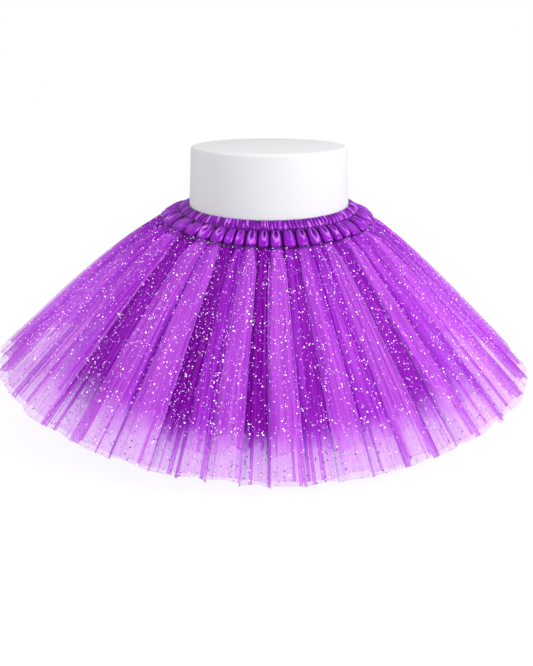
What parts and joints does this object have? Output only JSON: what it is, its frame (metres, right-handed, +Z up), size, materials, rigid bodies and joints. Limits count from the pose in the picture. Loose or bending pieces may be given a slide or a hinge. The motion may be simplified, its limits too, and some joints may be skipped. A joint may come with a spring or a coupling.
{
  "type": "tulle skirt on a display block",
  "caption": "Child's tulle skirt with a gathered satin waistband over flared layers of net, resting on a smooth round display block.",
  "frame": {"origin": "centre of the display block's flat base, on the surface it stands on", "axes": "+Z up the block, +X to the skirt's right as seen from the front and along its widest extent, -Y towards the front"},
  "size_m": [0.5623, 0.4891, 0.279],
  "materials": {
    "block_white": "smooth satin white paint",
    "satin_purple": "glossy polyester satin, tightly gathered",
    "glitter_net": "fine sheer nylon tulle with silver glitter dots",
    "plain_net": "fine sheer nylon tulle with no glitter",
    "lining_purple": "soft matt woven lining"
  },
  "bodies": {
    "root": {"display_block": "block_white", "waistband_casing": "satin_purple", "waistband_puffs": "satin_purple", "tulle_top": "glitter_net", "tulle_second": "glitter_net", "tulle_under": "plain_net", "lining": "lining_purple"}
  },
  "joints": []
}
